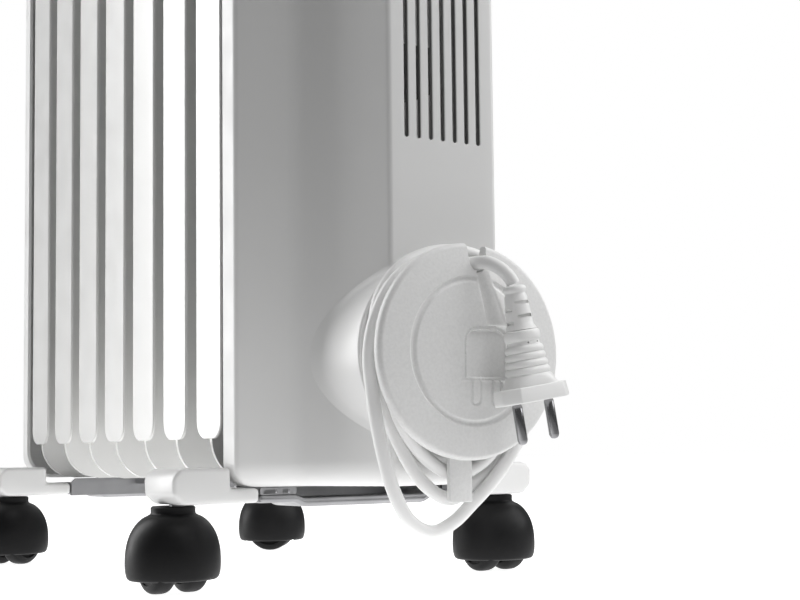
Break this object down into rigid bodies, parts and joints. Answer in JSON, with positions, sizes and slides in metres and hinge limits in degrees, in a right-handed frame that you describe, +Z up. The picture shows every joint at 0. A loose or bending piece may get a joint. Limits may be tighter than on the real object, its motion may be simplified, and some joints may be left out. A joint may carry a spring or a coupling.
{
  "type": "oil filled radiator heater",
  "caption": "Oil filled column radiator on twin-wheel casters, with a ridged control-end cover, vent slots, cord winder with plug, knob, rocker switches and carry handle.",
  "frame": {"origin": "on the floor, under the middle of the heater", "axes": "+Z up, the control end with the cord winder faces -Y, +X to its right as seen from the front"},
  "size_m": [0.243, 0.4546, 0.6483],
  "materials": {
    "white_plastic": "smooth moulded, semi gloss",
    "enamel": "baked enamel, smooth gloss",
    "grey_panel": "fine satin",
    "inner_plastic": "satin",
    "caster_plastic": "moulded, semi gloss",
    "wheel_plastic": "moulded, worn satin",
    "steel": "zinc plated",
    "nickel": "bright nickel plate",
    "cord_pvc": "smooth flexible sheath",
    "plug_pvc": "moulded flexible, satin",
    "red_lens": "clear amber red"
  },
  "bodies": {
    "radiator": {"fin_1": "enamel", "fin_2": "enamel", "fin_3": "enamel", "fin_4": "enamel", "fin_5": "enamel", "fin_6": "enamel", "fin_7": "enamel", "front_cover": "white_plastic", "rear_cover": "white_plastic", "handle": "white_plastic", "control_panel": "grey_panel", "pilot_lens": "red_lens", "thermostat_body": "inner_plastic", "terminal_block": "inner_plastic", "tilt_switch": "inner_plastic", "thermal_cutout": "steel", "heating_element": "steel", "winder_core": "white_plastic", "cord_gland": "inner_plastic", "winder_plate": "white_plastic", "cord_tongue": "white_plastic", "cord_coil": "cord_pvc", "cord_lead": "cord_pvc", "plug_relief": "plug_pvc", "plug_body": "plug_pvc", "plug_pin_left": "nickel", "plug_pin_right": "nickel", "front_bracket": "steel", "front_hook_bolt": "steel", "front_wing_nut": "steel", "front_left_arm": "white_plastic", "front_right_arm": "white_plastic", "rear_bracket": "steel", "rear_hook_bolt": "steel", "rear_wing_nut": "steel", "rear_left_arm": "white_plastic", "rear_right_arm": "white_plastic"},
    "knob": {"thermostat_knob": "white_plastic"},
    "low_rocker": {"heat_switch_low": "white_plastic"},
    "high_rocker": {"heat_switch_high": "white_plastic"},
    "front_left_caster": {"front_left_stem": "steel", "front_left_hood": "caster_plastic", "front_left_axle": "steel"},
    "front_left_inner_wheel": {"front_left_inner_wheel": "wheel_plastic"},
    "front_left_outer_wheel": {"front_left_outer_wheel": "wheel_plastic"},
    "front_right_caster": {"front_right_stem": "steel", "front_right_hood": "caster_plastic", "front_right_axle": "steel"},
    "front_right_inner_wheel": {"front_right_inner_wheel": "wheel_plastic"},
    "front_right_outer_wheel": {"front_right_outer_wheel": "wheel_plastic"},
    "rear_left_caster": {"rear_left_stem": "steel", "rear_left_hood": "caster_plastic", "rear_left_axle": "steel"},
    "rear_left_inner_wheel": {"rear_left_inner_wheel": "wheel_plastic"},
    "rear_left_outer_wheel": {"rear_left_outer_wheel": "wheel_plastic"},
    "rear_right_caster": {"rear_right_stem": "steel", "rear_right_hood": "caster_plastic", "rear_right_axle": "steel"},
    "rear_right_inner_wheel": {"rear_right_inner_wheel": "wheel_plastic"},
    "rear_right_outer_wheel": {"rear_right_outer_wheel": "wheel_plastic"}
  },
  "joints": [
    {"name": "thermostat_turn", "type": "hinge", "parent": "radiator", "child": "knob", "pos_m": [0, -0.1969, 0.532], "axis": [0, 1, 0], "range_deg": [0, 270]},
    {"name": "low_heat_switch", "type": "hinge", "parent": "radiator", "child": "low_rocker", "pos_m": [0, -0.1879, 0.452], "axis": [1, 0, 0], "range_deg": [0, 14]},
    {"name": "high_heat_switch", "type": "hinge", "parent": "radiator", "child": "high_rocker", "pos_m": [0, -0.1879, 0.424], "axis": [1, 0, 0], "range_deg": [0, 14]},
    {"name": "front_left_swivel", "type": "hinge", "parent": "radiator", "child": "front_left_caster", "pos_m": [-0.098, -0.0954, 0.043], "axis": [0, 0, 1], "continuous": true},
    {"name": "front_left_inner_wheel_roll", "type": "hinge", "parent": "front_left_caster", "child": "front_left_inner_wheel", "pos_m": [-0.098, -0.0904, 0.016], "axis": [1, 0, 0], "continuous": true},
    {"name": "front_left_outer_wheel_roll", "type": "hinge", "parent": "front_left_caster", "child": "front_left_outer_wheel", "pos_m": [-0.098, -0.0904, 0.016], "axis": [1, 0, 0], "continuous": true},
    {"name": "front_right_swivel", "type": "hinge", "parent": "radiator", "child": "front_right_caster", "pos_m": [0.098, -0.0954, 0.043], "axis": [0, 0, 1], "continuous": true},
    {"name": "front_right_inner_wheel_roll", "type": "hinge", "parent": "front_right_caster", "child": "front_right_inner_wheel", "pos_m": [0.098, -0.0904, 0.016], "axis": [1, 0, 0], "continuous": true},
    {"name": "front_right_outer_wheel_roll", "type": "hinge", "parent": "front_right_caster", "child": "front_right_outer_wheel", "pos_m": [0.098, -0.0904, 0.016], "axis": [1, 0, 0], "continuous": true},
    {"name": "rear_left_swivel", "type": "hinge", "parent": "radiator", "child": "rear_left_caster", "pos_m": [-0.098, 0.1726, 0.043], "axis": [0, 0, 1], "continuous": true},
    {"name": "rear_left_inner_wheel_roll", "type": "hinge", "parent": "rear_left_caster", "child": "rear_left_inner_wheel", "pos_m": [-0.0939, 0.17547, 0.016], "axis": [0.5736, -0.8192, 0], "continuous": true},
    {"name": "rear_left_outer_wheel_roll", "type": "hinge", "parent": "rear_left_caster", "child": "rear_left_outer_wheel", "pos_m": [-0.0939, 0.17547, 0.016], "axis": [0.5736, -0.8192, 0], "continuous": true},
    {"name": "rear_right_swivel", "type": "hinge", "parent": "radiator", "child": "rear_right_caster", "pos_m": [0.098, 0.1726, 0.043], "axis": [0, 0, 1], "continuous": true},
    {"name": "rear_right_inner_wheel_roll", "type": "hinge", "parent": "rear_right_caster", "child": "rear_right_inner_wheel", "pos_m": [0.0939, 0.17547, 0.016], "axis": [0.5736, 0.8192, 0], "continuous": true},
    {"name": "rear_right_outer_wheel_roll", "type": "hinge", "parent": "rear_right_caster", "child": "rear_right_outer_wheel", "pos_m": [0.0939, 0.17547, 0.016], "axis": [0.5736, 0.8192, 0], "continuous": true}
  ]
}
